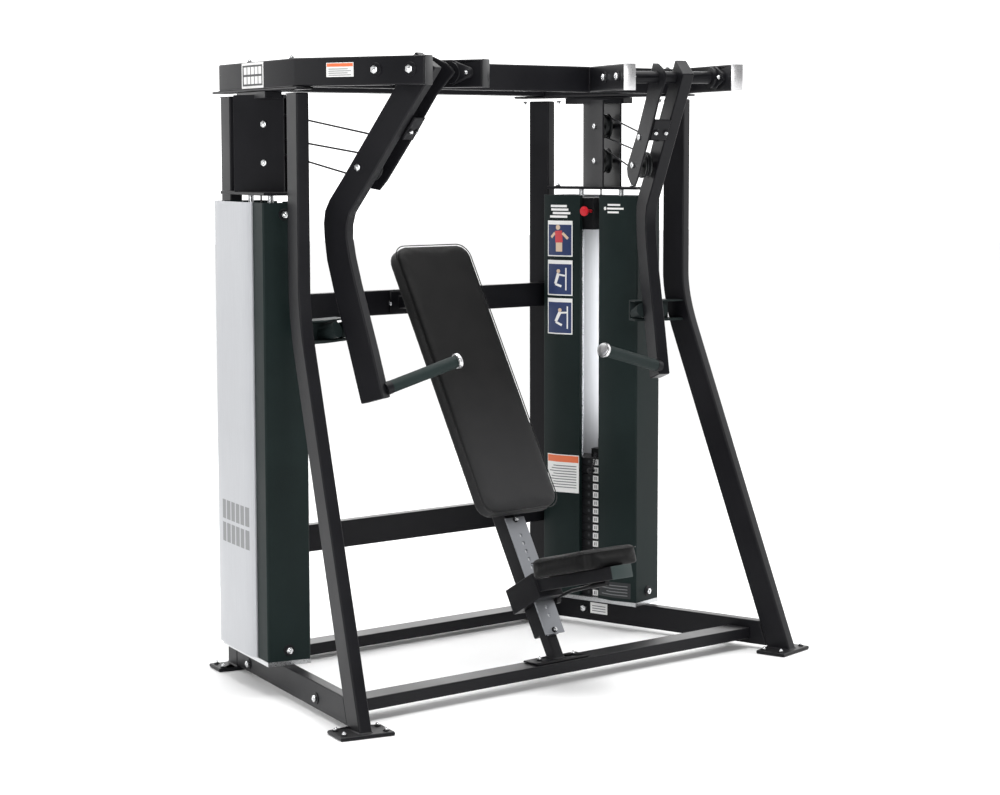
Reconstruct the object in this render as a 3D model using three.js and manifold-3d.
import * as THREE from 'three';
import { mergeVertices } from 'three/addons/utils/BufferGeometryUtils.js';
import Module from 'manifold-3d';

const wasm = await Module();
wasm.setup();

// Converging chest press with two weight stacks.
// Millimetres, +Z up, front of the machine toward -Y, floor at Z = 0.
// The left half (-X) is modelled; the right half is its mirror image.

// ---- frame tube and clearances ----
const tubeWide = 41;
const tubeDeep = 84;
const play = 0.3;

// ---- side frames: they toe outward toward the front ----
const sideToe = 12.99;
const sideOriginX = -924.7;
const sideOriginY = -509;
const uprightTop = 1880;
const frontUprightFace = 446;
const frontBendStart = 1290;
const frontBendEnd = 1100;
const frontSlope = 0.3688;
const frontHeelFace = 4.7;
const rearUprightFace = 1022;
const rearUprightBack = 1107;
const baseLow = 15.5;
const baseHigh = 98;
const footThick = 12;

// ---- top frame ----
const topLow = 1898;
const topHigh = 1983;
const topFlangeLow = 1880.3;
const beamRear = 1119;
const beamBend = 460;
const beamReach = 141;
const legReach = 123;

// ---- press arms: pivot line leans 21 degrees toward the middle ----
const armToe = 21;
const armOriginX = -666;
const armOriginY = -339;
const beamInner = -4.3;
const legOuter = 324;
const pivotF = 18;
const pivotZ = 1943;
const shaftR = 20;
const armTubeIn = 102;
const armTubeOut = 143;
const armPlateIn = 200;
const armPlateOut = 206;

// ---- cable and pulleys (arm plane) ----
const cablePlane = 165;
const cableR = 3;
const wrapR = 38;
const pulleyR = 44;
const pulleyHalf = 12;
const axleR = 8;
const framePulleyF = -551;
const upperPulleyZ = 1788.5;
const lowerPulleyZ = 1668;
const armPulleyF = -186;
const armPulleyZ = 1655;
const anchorF = -138;
const anchorZ = 1748;

// ---- weight tower (side frame coordinates) ----
const towerFront = 602;
const towerRear = 1005;
const towerIn = -92;
const towerOut = 52;
const towerLow = 112;
const towerHigh = 1547;
const gapFront = 764;
const gapRear = 846;
const towerMidU = 804;
const towerMidV = -20;
const sheetThick = 3;
const plateCount = 17;
const liftedPlates = 2;
const platePitch = 29.5;
const stackBase = 112.3;
const rodSpread = 86;
const rodR = 9.5;

// ---- seat and back rest ----
const backLean = 30;
const backFace = 578;
const backRear = 523;
const backLow = 308;
const backHigh = 1255;
const backHalf = 150;
const seatRise = 14;
const seatTipY = -626;
const seatTipZ = 402;
const seatHalf = 110;

const rad = (degrees) => degrees * Math.PI / 180;

// ---- local frames ----
const sideFrame = new THREE.Matrix4().makeBasis(
  new THREE.Vector3(Math.sin(rad(sideToe)), Math.cos(rad(sideToe)), 0),
  new THREE.Vector3(-Math.cos(rad(sideToe)), Math.sin(rad(sideToe)), 0),
  new THREE.Vector3(0, 0, 1),
).setPosition(sideOriginX, sideOriginY, 0);

const armFrame = new THREE.Matrix4().makeBasis(
  new THREE.Vector3(Math.sin(rad(armToe)), -Math.cos(rad(armToe)), 0),
  new THREE.Vector3(Math.cos(rad(armToe)), Math.sin(rad(armToe)), 0),
  new THREE.Vector3(0, 0, 1),
).setPosition(armOriginX, armOriginY, 0);

// x across, y up along the back rest, z out of the back rest
const leanFrame = new THREE.Matrix4().makeBasis(
  new THREE.Vector3(1, 0, 0),
  new THREE.Vector3(0, Math.sin(rad(backLean)), Math.cos(rad(backLean))),
  new THREE.Vector3(0, -Math.cos(rad(backLean)), Math.sin(rad(backLean))),
).setPosition(0, 191, 0);

// x across, y from the seat tip toward the rear, z out of the seat
const seatFrame = new THREE.Matrix4().makeBasis(
  new THREE.Vector3(1, 0, 0),
  new THREE.Vector3(0, Math.cos(rad(seatRise)), -Math.sin(rad(seatRise))),
  new THREE.Vector3(0, Math.sin(rad(seatRise)), Math.cos(rad(seatRise))),
).setPosition(0, seatTipY, seatTipZ);

const worldFrame = new THREE.Matrix4();

// ---- solids ----
function solid(geometry) {
  const bare = new THREE.BufferGeometry();
  bare.setAttribute('position', geometry.getAttribute('position'));
  if (geometry.index) {
    bare.setIndex(geometry.index);
  }
  const merged = mergeVertices(bare, 1e-4);
  return new wasm.Manifold(new wasm.Mesh({
    numProp: 3,
    vertProperties: new Float32Array(merged.getAttribute('position').array),
    triVerts: new Uint32Array(merged.index.array),
  }));
}

function surface(body) {
  const mesh = body.getMesh();
  const geometry = new THREE.BufferGeometry();
  geometry.setAttribute('position', new THREE.BufferAttribute(mesh.vertProperties, 3));
  geometry.setIndex(new THREE.BufferAttribute(mesh.triVerts, 1));
  return geometry;
}

function join(...bodies) {
  return bodies.reduce((whole, body) => whole.add(body));
}

function cut(body, ...tools) {
  return tools.reduce((rest, tool) => rest.subtract(tool), body);
}

function block(frame, x0, x1, y0, y1, z0, z1) {
  const geometry = new THREE.BoxGeometry(x1 - x0, y1 - y0, z1 - z0);
  geometry.translate((x0 + x1) / 2, (y0 + y1) / 2, (z0 + z1) / 2);
  return solid(geometry.applyMatrix4(frame));
}

function shapeOf(points) {
  return new THREE.Shape(points.map(([x, y]) => new THREE.Vector2(x, y)));
}

// outline in the local x-y plane, raised from z0 to z1
function plan(frame, points, z0, z1) {
  const geometry = new THREE.ExtrudeGeometry(shapeOf(points), {
    depth: z1 - z0, bevelEnabled: false,
  });
  geometry.translate(0, 0, z0);
  return solid(geometry.applyMatrix4(frame));
}

// outline in the local x-z plane, spread from y0 to y1
function slab(frame, points, y0, y1) {
  const geometry = new THREE.ExtrudeGeometry(shapeOf(points), {
    depth: y1 - y0, bevelEnabled: false,
  });
  geometry.rotateX(Math.PI / 2);
  geometry.translate(0, y1, 0);
  return solid(geometry.applyMatrix4(frame));
}

// round bar between two local points
function bar(frame, from, to, radius, sides = 16) {
  const start = new THREE.Vector3(...from);
  const end = new THREE.Vector3(...to);
  const length = start.distanceTo(end);
  const geometry = new THREE.CylinderGeometry(radius, radius, length, sides);
  geometry.translate(0, length / 2, 0);
  const turn = new THREE.Quaternion().setFromUnitVectors(
    new THREE.Vector3(0, 1, 0), end.clone().sub(start).normalize());
  geometry.applyQuaternion(turn);
  geometry.translate(start.x, start.y, start.z);
  return solid(geometry.applyMatrix4(frame));
}

// closed ring profile (radius, along) turned about the local y axis at (x, z)
function turned(frame, profile, x, z, sides = 28) {
  const ring = [...profile, profile[0]];
  const geometry = new THREE.LatheGeometry(ring.map(([r, y]) => new THREE.Vector2(r, y)), sides);
  geometry.translate(x, 0, z);
  return solid(geometry.applyMatrix4(frame));
}

// flat cushion with rounded corners and softened edges
function cushion(frame, half, y0, y1, z0, z1, corner, edge) {
  const shape = new THREE.Shape();
  const w = half - edge;
  const a = y0 + edge;
  const b = y1 - edge;
  const r = corner - edge;
  shape.moveTo(-w + r, a);
  shape.lineTo(w - r, a);
  shape.absarc(w - r, a + r, r, -Math.PI / 2, 0);
  shape.lineTo(w, b - r);
  shape.absarc(w - r, b - r, r, 0, Math.PI / 2);
  shape.lineTo(-w + r, b);
  shape.absarc(-w + r, b - r, r, Math.PI / 2, Math.PI);
  shape.lineTo(-w, a + r);
  shape.absarc(-w + r, a + r, r, Math.PI, 1.5 * Math.PI);
  const geometry = new THREE.ExtrudeGeometry(shape, {
    depth: z1 - z0 - 2 * edge,
    bevelEnabled: true,
    bevelThickness: edge,
    bevelSize: edge,
    bevelSegments: 2,
    curveSegments: 5,
  });
  geometry.translate(0, 0, z0 + edge);
  return solid(geometry.applyMatrix4(frame));
}

function arcPoints(cx, cy, r, from, to, steps) {
  const points = [];
  for (let i = 0; i <= steps; i += 1) {
    const angle = from + (to - from) * i / steps;
    points.push([cx + r * Math.cos(angle), cy + r * Math.sin(angle)]);
  }
  return points;
}

// ---- side frames ----
function frontEdge(z) {
  return frontHeelFace + frontSlope * (z - footThick);
}

// quadratic sweep that eases the vertical leg into the raked leg
function uprightEdge(offset) {
  const top = [frontUprightFace + offset, frontBendStart];
  const low = [frontEdge(frontBendEnd) + offset * 1.066, frontBendEnd];
  const knee = [frontUprightFace + offset, frontBendEnd + (frontUprightFace - frontEdge(frontBendEnd)) / frontSlope];
  const points = [];
  for (let i = 0; i <= 10; i += 1) {
    const t = i / 10;
    const a = (1 - t) * (1 - t);
    const b = 2 * t * (1 - t);
    const c = t * t;
    points.push([a * top[0] + b * knee[0] + c * low[0], a * top[1] + b * knee[1] + c * low[1]]);
  }
  return points;
}

function frontUpright() {
  const front = uprightEdge(0);
  const back = uprightEdge(tubeDeep).reverse();
  const outline = [
    [frontUprightFace, uprightTop],
    ...front,
    [frontEdge(footThick - 1), footThick - 1],
    [frontEdge(footThick - 1) + tubeDeep * 1.066, footThick - 1],
    ...back,
    [frontUprightFace + tubeDeep, uprightTop],
  ];
  return join(
    slab(sideFrame, outline, -tubeWide, 0),
    block(sideFrame, -12, 98, -108, 65, 0, footThick),
  );
}

function rearUpright() {
  return join(
    block(sideFrame, rearUprightFace, rearUprightBack, -tubeWide, 0, footThick - 1, uprightTop),
    block(sideFrame, 1016, 1115, -108, 65, 0, footThick),
  );
}

function baseBeam() {
  const heel = tubeDeep * 1.066 + play * 1.1;
  const outline = [
    [frontEdge(baseLow) + heel, baseLow],
    [rearUprightFace - play, baseLow],
    [rearUprightFace - play, baseHigh],
    [frontEdge(baseHigh) + heel, baseHigh],
  ];
  return slab(sideFrame, outline, -tubeWide, 0);
}

// inner face of the left side frame at a given depth
function innerX(y) {
  const u = (y - sideOriginY + tubeWide * Math.sin(rad(sideToe))) / Math.cos(rad(sideToe));
  return sideOriginX + u * Math.sin(rad(sideToe)) + tubeWide * Math.cos(rad(sideToe));
}

function crossTube(y0, y1, z0, z1) {
  const a = innerX(y0) + play;
  const b = innerX(y1) + play;
  return plan(worldFrame, [[a, y0], [-a, y0], [-b, y1], [b, y1]], z0, z1);
}

// ---- top frame ----
function outerBeam() {
  const c = Math.cos(rad(sideToe));
  const s = Math.sin(rad(sideToe));
  const at = (u, v) => [sideOriginX + u * s - v * c, sideOriginY + u * c + v * s];
  const ca = Math.cos(rad(armToe));
  const sa = Math.sin(rad(armToe));
  const arm = (t, f) => [armOriginX + t * ca + f * sa, armOriginY + t * sa - f * ca];
  const beamOuter = beamInner - tubeWide;
  const outline = [
    at(beamRear, 0),
    at(beamBend, 0),
    arm(beamOuter, beamReach),
    arm(beamInner, beamReach),
    at(beamBend + 12.4, -tubeWide),
    at(beamRear, -tubeWide),
  ];
  const beam = join(
    plan(worldFrame, outline, topLow, topHigh),
    block(sideFrame, 430, 1168, -50, 6, topLow - 8.7, topLow - play),
    block(sideFrame, 475, 1110, -tubeWide + 1, -1, topLow - 2, topLow + 1),
    bar(armFrame, [pivotF, beamInner - 1, pivotZ], [pivotF, beamInner + 20, pivotZ], 34, 24),
    slab(armFrame, flange(), beamInner - 1, beamInner + 9),
  );
  return cut(beam, bar(armFrame,
    [pivotF, beamInner + 0.5, pivotZ], [pivotF, beamInner + 30, pivotZ], shaftR + 0.4, 24));
}

// oval two-bolt bearing flange, seen along the pivot line
function flange() {
  return [
    ...arcPoints(pivotF + 58, pivotZ, 18, -1.1, 1.1, 6),
    ...arcPoints(pivotF, pivotZ, 38, 1.05, Math.PI - 1.05, 8),
    ...arcPoints(pivotF - 58, pivotZ, 18, Math.PI - 1.1, Math.PI + 1.1, 6),
    ...arcPoints(pivotF, pivotZ, 38, Math.PI + 1.05, 2 * Math.PI - 1.05, 8),
  ];
}

function innerLeg() {
  const leg = join(
    block(armFrame, -196, legReach, legOuter, legOuter + tubeWide, topLow, topHigh),
    bar(armFrame, [pivotF, legOuter - 20, pivotZ], [pivotF, legOuter + 1, pivotZ], 34, 24),
    slab(armFrame, flange(), legOuter - 9, legOuter + 1),
  );
  return cut(leg, bar(armFrame,
    [pivotF, legOuter - 30, pivotZ], [pivotF, legOuter - 0.5, pivotZ], shaftR + 0.4, 24));
}

function frontCross() {
  const y0 = -38.4;
  const beam = crossTube(y0, y0 + tubeWide, topLow, topHigh);
  const leg = innerLeg();
  const trim = block(worldFrame, -900, 900, y0 + 5, 400, 1800, 2100);
  const left = cut(leg, trim);
  return join(beam, left, mirrored(left));
}

function mirrored(body) {
  const geometry = surface(body);
  geometry.applyMatrix4(new THREE.Matrix4().makeScale(-1, 1, 1));
  const index = geometry.index.array;
  for (let i = 0; i < index.length; i += 3) {
    [index[i], index[i + 1]] = [index[i + 1], index[i]];
  }
  return solid(geometry);
}

// ---- press arm ----
function armTube() {
  const outline = [
    [20, 2000], [-70, 1871], [-163, 1738], [-247, 1617], [-292, 1556],
    [-309, 1522], [-314, 1484], [-312, 1440], [-303, 1370], [-280, 1278],
    [-235, 1125], [-182, 930], [-101, 952],
    [-140, 1098], [-198, 1299], [-218, 1378], [-229, 1440], [-228, 1480],
    [-218, 1516], [-165, 1590], [-94, 1692], [-20, 1799], [54, 1900], [90, 1952],
  ];
  return slab(armFrame, outline, armTubeIn, armTubeOut);
}

function armInnerPlate() {
  const outline = [
    [-20, 1990], [-79, 1876], [-148, 1771], [-228, 1671], [-246, 1644],
    [-240, 1618], [-208, 1590], [-171, 1584], [-142, 1615], [-55, 1737], [35, 1872],
    [98, 1940], [70, 1968], [23, 1988],
  ];
  return slab(armFrame, outline, armPlateIn, armPlateOut);
}

// hand grip line, arm-plane coordinates (f, t, z)
const gripRoot = new THREE.Vector3(-112, armTubeOut, 979);
const gripWay = new THREE.Vector3(107.8, 230.7, 68).normalize();
const gripStart = 14;
const gripEnd = 264;

function gripPoint(along) {
  return gripRoot.clone().addScaledVector(gripWay, along).toArray();
}

function pressArm() {
  const crossPlate = [
    [-50, 1737], [-4, 1803], [-9.5, 1807], [-55.5, 1741],
  ];
  return join(
    armTube(),
    armInnerPlate(),
    bar(armFrame, [pivotF, beamInner + 1, pivotZ], [pivotF, legOuter - 1, pivotZ], shaftR, 24),
    slab(armFrame, crossPlate, armTubeOut - 1, armPlateIn + 1),
    block(armFrame, anchorF, anchorF + 20, armTubeOut - 1, armPlateIn + 1, anchorZ - 11, anchorZ + 11),
    bar(armFrame, [armPulleyF, armTubeOut - 1, armPulleyZ], [armPulleyF, armPlateIn + 1, armPulleyZ], axleR),
    bar(armFrame, gripPoint(-8), gripPoint(gripEnd + 1), 13),
    bar(armFrame, gripPoint(-8), gripPoint(gripStart - play), 21),
    bar(armFrame, gripPoint(gripEnd + play), gripPoint(gripEnd + 15), 24, 24),
  );
}

function handGrip() {
  return cut(
    bar(armFrame, gripPoint(gripStart), gripPoint(gripEnd), 20, 24),
    bar(armFrame, gripPoint(gripStart - 5), gripPoint(gripEnd + 5), 13 + play, 16),
  );
}

function pulley(f, z) {
  const edge = pulleyHalf;
  const root = wrapR - cableR - play;
  const profile = [
    [axleR + play, -edge], [pulleyR, -edge], [pulleyR, -7.5], [root + 1.5, -4.3],
    [root, -2.5], [root, 2.5], [root + 1.5, 4.3], [pulleyR, 7.5], [pulleyR, edge],
    [axleR + play, edge],
  ].map(([r, y]) => [r, y + cablePlane]);
  return turned(armFrame, profile, f, z);
}

// ---- rest stop that the arm leans on ----
function restStop() {
  const tilt = rad(15.2);
  const face = (along, t) => [
    -248.4 - along * Math.cos(tilt), t, 1160 - along * Math.sin(tilt)];
  const shelf = (z0, z1) => plan(armFrame,
    [[-279, -19.6], [-262, 30], [-262, 166], [-318, 166], [-338, 20.1]], z0, z1);
  return join(
    shelf(1120, 1128),
    shelf(1186, 1191),
    block(armFrame, -318, -308, 24, 166, 1120, 1191),
    bar(armFrame, face(0, 76), face(61, 76), 25, 28),
    bar(armFrame, face(0, 140), face(61, 140), 25, 28),
  );
}

// ---- weight tower ----
function frontShroud() {
  const t = sheetThick;
  const outline = [
    [gapFront, towerIn], [696, towerIn - 12], [towerFront + 4, towerIn], [towerFront, towerIn + 4],
    [towerFront, towerOut - 4], [towerFront + 4, towerOut], [688, towerOut],
    [688, towerOut - t], [towerFront + t + 2, towerOut - t], [towerFront + t, towerOut - t - 2],
    [towerFront + t, towerIn + t + 2], [towerFront + t + 2, towerIn + t], [696, towerIn - 12 + t],
    [gapFront - t, towerIn + t], [gapFront - t, towerIn + 16], [gapFront, towerIn + 16],
  ];
  return plan(sideFrame, outline, towerLow + play, towerHigh);
}

function rearShroud() {
  const t = sheetThick;
  const outline = [
    [gapRear, towerIn], [gapRear, towerIn + 16], [gapRear + t, towerIn + 16], [gapRear + t, towerIn + t],
    [938, towerIn - 12 + t], [towerRear - t - 2, towerIn + t], [towerRear - t, towerIn + t + 2],
    [towerRear - t, towerOut - 22], [towerRear, towerOut - 22],
    [towerRear, towerIn + 4], [towerRear - 4, towerIn], [938, towerIn - 12],
  ];
  return plan(sideFrame, outline, towerLow + play, towerHigh);
}

function outerPanel() {
  const t = sheetThick;
  const b = towerOut + play;
  const outline = [
    [690, b - 2], [690, b + 4], [706, b + 12], [760, b + 15], [940, b + 15], [1000, b + 11],
    [1010, b + 4], [1010, b - 18], [1010 - t, b - 18], [1010 - t, b + 2.5],
    [999, b + 11 - t], [940, b + 15 - t], [760, b + 15 - t], [707, b + 12 - t],
    [690 + t, b + 3], [690 + t, b - 2],
  ];
  return plan(sideFrame, outline, towerLow + play, towerHigh);
}

function stackFrame() {
  const rods = [-rodSpread, rodSpread].map((d) => bar(sideFrame,
    [towerMidU + d, towerMidV, towerLow - 2], [towerMidU + d, towerMidV, 1567.7], rodR));
  return join(
    block(sideFrame, towerFront, towerRear, towerIn, towerOut, baseHigh + play, towerLow),
    ...rods,
  );
}

function rodHoles(z0, z1) {
  return [-rodSpread, rodSpread].map((d) => bar(sideFrame,
    [towerMidU + d, towerMidV, z0], [towerMidU + d, towerMidV, z1], rodR + 1));
}

const stackHalfU = 112;
const stackHalfV = 52;
const restTop = stackBase + platePitch * (plateCount - liftedPlates);
const stackTop = stackBase + platePitch * plateCount;
const headTop = stackTop + 30;

function weightPlates(first, last, low) {
  const plates = [];
  for (let i = first; i < last; i += 1) {
    const z = stackBase + i * platePitch;
    plates.push(block(sideFrame, towerMidU - stackHalfU, towerMidU + stackHalfU,
      towerMidV - stackHalfV, towerMidV + stackHalfV, z, z + platePitch - 2));
  }
  plates.push(block(sideFrame, towerMidU - stackHalfU + 3, towerMidU + stackHalfU - 3,
    towerMidV - stackHalfV + 3, towerMidV + stackHalfV - 3,
    low, stackBase + last * platePitch - 2));
  return join(...plates);
}

function plateStack() {
  const stemHole = bar(sideFrame, [towerMidU, towerMidV, stackBase - 5],
    [towerMidU, towerMidV, restTop + 5], 11.5);
  return cut(weightPlates(0, plateCount - liftedPlates, stackBase),
    stemHole, ...rodHoles(stackBase - 5, restTop + 5));
}

// top plates with the head block and the selector stem that hangs inside the stack
function stackHead() {
  const z0 = restTop - 2 + play;
  const head = block(sideFrame, towerMidU - 24, towerMidU + 24,
    towerMidV - 24, towerMidV + 24, stackTop - 4, headTop);
  const stem = bar(sideFrame, [towerMidU, towerMidV, stackBase + 4],
    [towerMidU, towerMidV, restTop + 10], 10);
  const neck = bar(sideFrame, [towerMidU, towerMidV, headTop - 1],
    [towerMidU, towerMidV, headTop + 34], 9);
  const pinHole = bar(sideFrame, [towerMidU, towerMidV - 90, restTop + 13],
    [towerMidU, towerMidV - 4, restTop + 13], 5.3);
  return cut(join(weightPlates(plateCount - liftedPlates, plateCount, z0), head, stem, neck),
    pinHole, ...rodHoles(z0 - 5, headTop + 5));
}

function selectorPin() {
  const z = restTop + 13;
  return join(
    bar(sideFrame, [towerMidU, towerMidV - 74, z], [towerMidU, towerMidV - 4.5, z], 5),
    bar(sideFrame, [towerMidU, towerMidV - 88, z], [towerMidU, towerMidV - 73, z], 12),
  );
}

const addonZ = 1491;

const knobU = 822;

// small extra weight parked on the rear guide rod
function addonWeight() {
  const body = block(sideFrame, towerMidU + 7, 925, -58, 18, 1425, 1537);
  const bore = bar(sideFrame, [knobU, -70, addonZ], [knobU, -35, addonZ], 6.3);
  return cut(body, bore, ...rodHoles(1420, 1545));
}

function addonKnob() {
  return join(
    bar(sideFrame, [knobU, -80, addonZ], [knobU, -36, addonZ], 6),
    bar(sideFrame, [knobU, -102, addonZ], [knobU, -78, addonZ], 17, 28),
  );
}

// hanger above the tower that carries both frame pulleys
function pulleyHanger() {
  const cheek = (t0) => block(armFrame, -668, -478, t0, t0 + 6, 1576, 1879);
  const axle = (z) => bar(armFrame, [framePulleyF, 132, z], [framePulleyF, 202, z], axleR);
  const hanger = join(
    cheek(131),
    cheek(197),
    block(armFrame, -668, -478, 131, 203, 1869, uprightTop),
    block(sideFrame, 690, 940, -50, 6, 1868, topLow - 9),
    block(sideFrame, 612, 996, -84, 44, 1568, 1578),
    axle(upperPulleyZ),
    axle(lowerPulleyZ),
  );
  return cut(hanger, bar(sideFrame, [towerMidU, towerMidV, 1560],
    [towerMidU, towerMidV, 1590], 14));
}

// ---- cable route in the arm plane: straight runs and wraps ----
function tangent(from, to) {
  const dx = to.x - from.x;
  const dz = to.z - from.z;
  const offset = to.turn * to.r - from.turn * from.r;
  const length = Math.sqrt(dx * dx + dz * dz - offset * offset);
  const angle = Math.atan2(dz, dx) - Math.atan2(offset, length);
  return angle;
}

function cableRoute() {
  const anchor = { x: anchorF - 1, z: anchorZ, r: 0, turn: 0 };
  const upper = { x: framePulleyF, z: upperPulleyZ, r: wrapR, turn: 1 };
  const arm = { x: armPulleyF, z: armPulleyZ, r: wrapR, turn: -1 };
  const lower = { x: framePulleyF, z: lowerPulleyZ, r: wrapR, turn: 1 };
  const stops = [anchor, upper, arm, lower];
  const headings = [tangent(anchor, upper), tangent(upper, arm), tangent(arm, lower), -Math.PI / 2];
  const points = [[anchor.x, anchor.z]];
  for (let i = 1; i < stops.length; i += 1) {
    const stop = stops[i];
    const start = headings[i - 1];
    let sweep = headings[i] - start;
    while (sweep * stop.turn < 0) {
      sweep += 2 * Math.PI * stop.turn;
    }
    while (sweep * stop.turn > 2 * Math.PI) {
      sweep -= 2 * Math.PI * stop.turn;
    }
    const steps = Math.max(2, Math.ceil(Math.abs(sweep) / 0.2));
    for (let k = 0; k <= steps; k += 1) {
      const angle = start + sweep * k / steps;
      points.push([
        stop.x + stop.turn * stop.r * Math.sin(angle),
        stop.z - stop.turn * stop.r * Math.cos(angle),
      ]);
    }
  }
  return points;
}

// round cord swept along a planar route (f, z) at the cable plane
function cord(points, sides = 8) {
  const rings = points.map(([f, z], i) => {
    const before = points[Math.max(0, i - 1)];
    const after = points[Math.min(points.length - 1, i + 1)];
    const heading = Math.atan2(after[1] - before[1], after[0] - before[0]);
    const ring = [];
    for (let k = 0; k < sides; k += 1) {
      const a = 2 * Math.PI * k / sides;
      ring.push(new THREE.Vector3(
        f - Math.sin(heading) * cableR * Math.cos(a),
        cablePlane - cableR * Math.sin(a),
        z + Math.cos(heading) * cableR * Math.cos(a),
      ));
    }
    return ring;
  });
  const vertices = rings.flat();
  const first = vertices.push(new THREE.Vector3(points[0][0], cablePlane, points[0][1])) - 1;
  const end = points[points.length - 1];
  const last = vertices.push(new THREE.Vector3(end[0], cablePlane, end[1])) - 1;
  const index = [];
  for (let i = 0; i + 1 < rings.length; i += 1) {
    for (let k = 0; k < sides; k += 1) {
      const n = (k + 1) % sides;
      const a = i * sides + k;
      const b = i * sides + n;
      index.push(a, b, a + sides, b, b + sides, a + sides);
    }
  }
  for (let k = 0; k < sides; k += 1) {
    const n = (k + 1) % sides;
    const base = (rings.length - 1) * sides;
    index.push(first, n, k);
    index.push(last, base + k, base + n);
  }
  const geometry = new THREE.BufferGeometry().setFromPoints(vertices);
  geometry.setIndex(index);
  return solid(geometry.applyMatrix4(armFrame));
}

function cableSpan() {
  return cord(cableRoute());
}

function cableDrop() {
  const f = framePulleyF - wrapR;
  return cord([[f, lowerPulleyZ - play], [f, headTop + 34 + play]]);
}

// ---- seat and back rest ----
function backPad() {
  return cushion(leanFrame, backHalf, backLow, backHigh, backRear, backFace, 46, 10);
}

function padBoard() {
  return block(leanFrame, -105, 105, 335, 1225, 498.3, backRear - play);
}

function seatPost() {
  const inner = new THREE.Matrix4().copy(leanFrame);
  const tube = slab(inner, [[-20.5, 457], [20.5, 457], [20.5, 498], [-20.5, 498]], -222, 1150);
  const strip = slab(inner, [[-20.5, 430], [20.5, 430], [20.5, 458], [-20.5, 458]], -102, 640);
  const floor = block(worldFrame, -200, 200, -900, 400, -300, 73);
  const plate = block(worldFrame, -110, 110, -354, -284, 72.3, 80);
  const stub = plan(worldFrame, [[-20.5, 330], [20.5, 330], [20.5, 487.7], [-20.5, 487.7]], 1168, 1209);
  const pad = block(worldFrame, -55, 55, 479.7, 487.7, 1150, 1227);
  return join(cut(join(tube, strip), floor), plate, stub, pad);
}

function seatRail() {
  const rail = block(leanFrame, -40, 40, -116, 292, 512, 517);
  const spacers = [[-116, -84], [258, 292]].map(([a, b]) => block(
    leanFrame, -20, 20, a, b, 498 + play, 512.5));
  const holes = [];
  for (let i = 0; i < 11; i += 1) {
    const s = -52 + i * 28;
    holes.push(slab(leanFrame, [[-4.5, 500], [4.5, 500], [4.5, 530], [-4.5, 530]], s - 6, s + 6));
  }
  return cut(join(rail, ...spacers), ...holes);
}

function seatCarriage() {
  const sleeve = block(leanFrame, -50, 50, -3, 82, 408, 562);
  const postWay = block(leanFrame, -21, 21, -20, 100, 429, 511);
  const railWay = block(leanFrame, -40.8, 40.8, -20, 100, 510, 518);
  const arm = block(seatFrame, -42, 42, 0, 370, -20.5, 20.5);
  return join(cut(sleeve, postWay, railWay), arm);
}

function seatPad() {
  return cushion(seatFrame, seatHalf, 34, 302, 20.8, 79, 34, 10);
}

function seatLever() {
  const points = [[-255, 252], [-262, 262], [-330, 292], [-415, 318], [-496, 341]];
  const arm = points.slice(1).map((point, i) => bar(worldFrame,
    [57, points[i][0], points[i][1]], [57, point[0], point[1]], 6, 16));
  const grip = bar(worldFrame, [57, -425, 321], [57, -500, 342], 9, 20);
  const hub = bar(worldFrame, [50 + play, -255, 252], [66, -255, 252], 13, 24);
  const joints = points.slice(1, -1).map(([y, z]) => {
    const ball = new THREE.SphereGeometry(6.2, 16, 10);
    ball.translate(57, y, z);
    return solid(ball);
  });
  return join(hub, grip, ...arm, ...joints);
}

// ---- assembly ----
const frameBlack = { color: 0x17171a, roughness: 0.42, metalness: 0.15 };
const shroudGreen = { color: 0x1c2a29, roughness: 0.5, metalness: 0.2 };
const panelSilver = { color: 0xc9cdd0, roughness: 0.35, metalness: 0.7 };
const steel = { color: 0xb4b8bb, roughness: 0.3, metalness: 0.9 };
const castIron = { color: 0x1b1c1e, roughness: 0.6, metalness: 0.4 };
const vinyl = { color: 0x131314, roughness: 0.55, metalness: 0.0 };
const rubber = { color: 0x1d2624, roughness: 0.75, metalness: 0.0 };
const nylon = { color: 0x101112, roughness: 0.45, metalness: 0.0 };
const cordBlack = { color: 0x16161a, roughness: 0.5, metalness: 0.0 };
const signalRed = { color: 0xb01622, roughness: 0.35, metalness: 0.0 };

const press = new THREE.Group();
press.name = 'chest_press';

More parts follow.
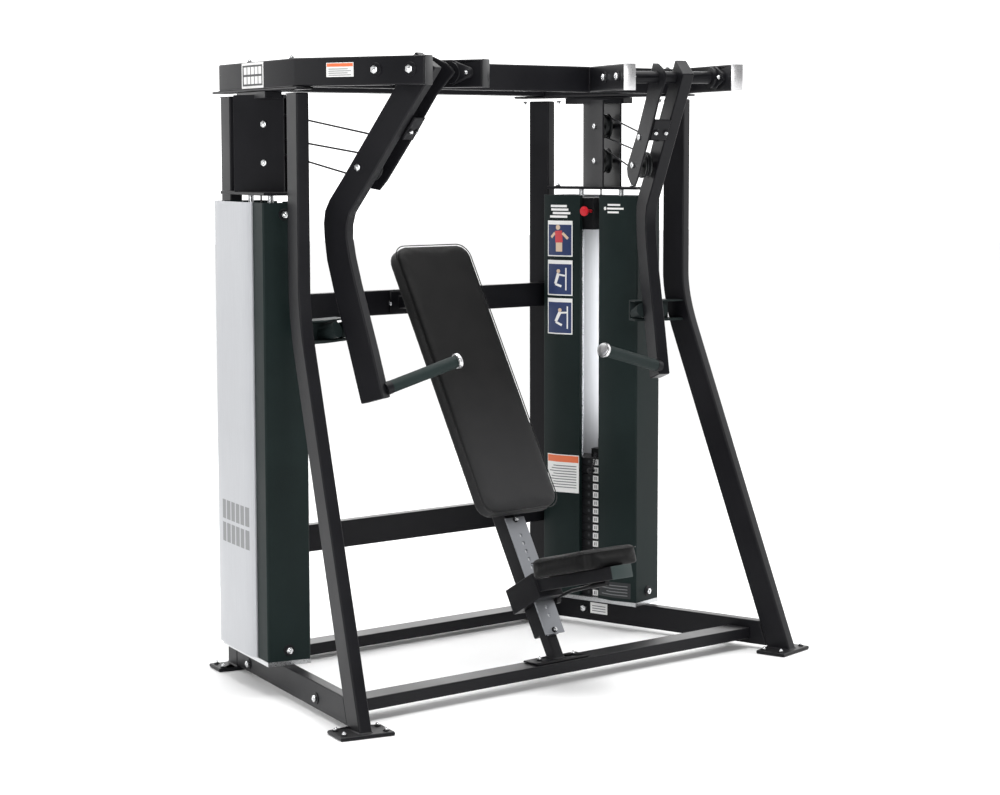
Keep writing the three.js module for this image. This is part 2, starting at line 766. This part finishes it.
function add(name, body, look) {
  const geometry = surface(body).toNonIndexed();
  geometry.computeVertexNormals();
  const material = new THREE.MeshStandardMaterial(look);
  material.name = name;
  const mesh = new THREE.Mesh(geometry, material);
  mesh.name = name;
  press.add(mesh);
}

function addPair(name, body, look) {
  add(`${name}_l`, body, look);
  add(`${name}_r`, mirrored(body), look);
}

addPair('base_beam', baseBeam(), frameBlack);
addPair('front_upright', frontUpright(), frameBlack);
addPair('rear_upright', rearUpright(), frameBlack);
addPair('outer_beam', outerBeam(), frameBlack);
add('front_cross_beam', frontCross(), frameBlack);
add('rear_cross_beam', crossTube(491, 576, topLow, topHigh), frameBlack);
add('upper_cross_tube', crossTube(488, 529, 1146, 1231), frameBlack);
add('lower_cross_tube', crossTube(491, 532, 361, 453), frameBlack);
add('base_cross_rear', crossTube(453, 537, 16, 55), frameBlack);
add('base_cross_front', crossTube(-361, -276, 33, 72), frameBlack);
add('seat_post', seatPost(), frameBlack);
add('pad_board', padBoard(), frameBlack);
add('back_pad', backPad(), vinyl);
add('seat_rail', seatRail(), steel);
add('seat_carriage', seatCarriage(), frameBlack);
add('seat_pad', seatPad(), vinyl);
add('seat_lever', seatLever(), nylon);
addPair('shroud_front', frontShroud(), shroudGreen);
addPair('shroud_rear', rearShroud(), shroudGreen);
addPair('outer_panel', outerPanel(), panelSilver);
addPair('stack_frame', stackFrame(), steel);
addPair('plate_stack', plateStack(), castIron);
addPair('stack_head', stackHead(), castIron);
addPair('selector_pin', selectorPin(), steel);
addPair('addon_weight', addonWeight(), castIron);
addPair('addon_knob', addonKnob(), signalRed);
addPair('pulley_hanger', pulleyHanger(), frameBlack);
addPair('pulley_upper', pulley(framePulleyF, upperPulleyZ), nylon);
addPair('pulley_lower', pulley(framePulleyF, lowerPulleyZ), nylon);
addPair('pulley_arm', pulley(armPulleyF, armPulleyZ), nylon);
addPair('press_arm', pressArm(), frameBlack);
addPair('hand_grip', handGrip(), rubber);
addPair('rest_stop', restStop(), rubber);
addPair('cable_span', cableSpan(), cordBlack);
addPair('cable_drop', cableDrop(), cordBlack);

export default press;
